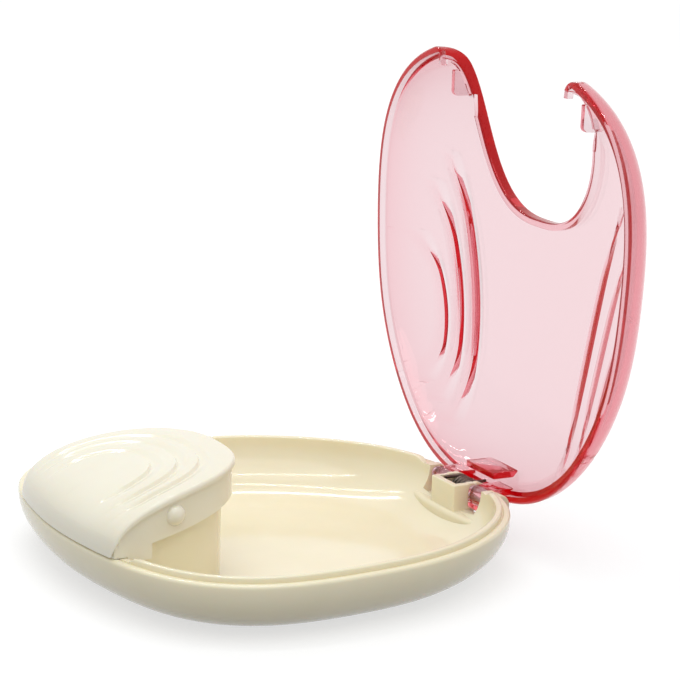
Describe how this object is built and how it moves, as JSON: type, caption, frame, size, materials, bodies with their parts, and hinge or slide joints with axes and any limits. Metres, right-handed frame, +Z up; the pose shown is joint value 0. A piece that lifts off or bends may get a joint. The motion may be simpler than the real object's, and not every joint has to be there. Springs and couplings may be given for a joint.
{
  "type": "retainer case",
  "caption": "Round case for a dental retainer: ivory tray, translucent red lid that springs open on a rear hinge, and an ivory push button at the front that lets the lid go.",
  "frame": {"origin": "middle of the tray's flat foot, on the surface it stands on", "axes": "+Z up, +Y from the button towards the hinge, +X along the hinge pin"},
  "size_m": [0.1002, 0.1126, 0.1007],
  "materials": {
    "ivory_plastic": "glossy moulded ivory plastic, slightly warm",
    "button_plastic": "glossy moulded off-white plastic with fine raised ridges",
    "red_plastic": "glossy translucent red plastic, pale where it is thin and deep red along its edges",
    "pin_steel": "plain drawn steel rod",
    "spring_steel": "dark oiled spring wire"
  },
  "bodies": {
    "tray": {"base_tray": "ivory_plastic", "hinge_pin": "pin_steel", "lid_spring": "spring_steel", "return_spring": "spring_steel"},
    "lid": {"lid": "red_plastic"},
    "button": {"push_button": "button_plastic"}
  },
  "joints": [
    {"name": "lid", "type": "hinge", "parent": "tray", "child": "lid", "pos_m": [0, 0.047, 0.00975], "axis": [-1, 0, 0], "range_deg": [-90.5, 0], "stiffness_Nm_per_rad": 0.006, "springref_deg": 45.84},
    {"name": "push_button", "type": "hinge", "parent": "tray", "child": "button", "pos_m": [0, -0.0405, 0.0145], "axis": [-1, 0, 0], "range_deg": [0, 4], "stiffness_Nm_per_rad": 0.6, "springref_deg": -2.86, "deforming": ["return_spring"]}
  ]
}
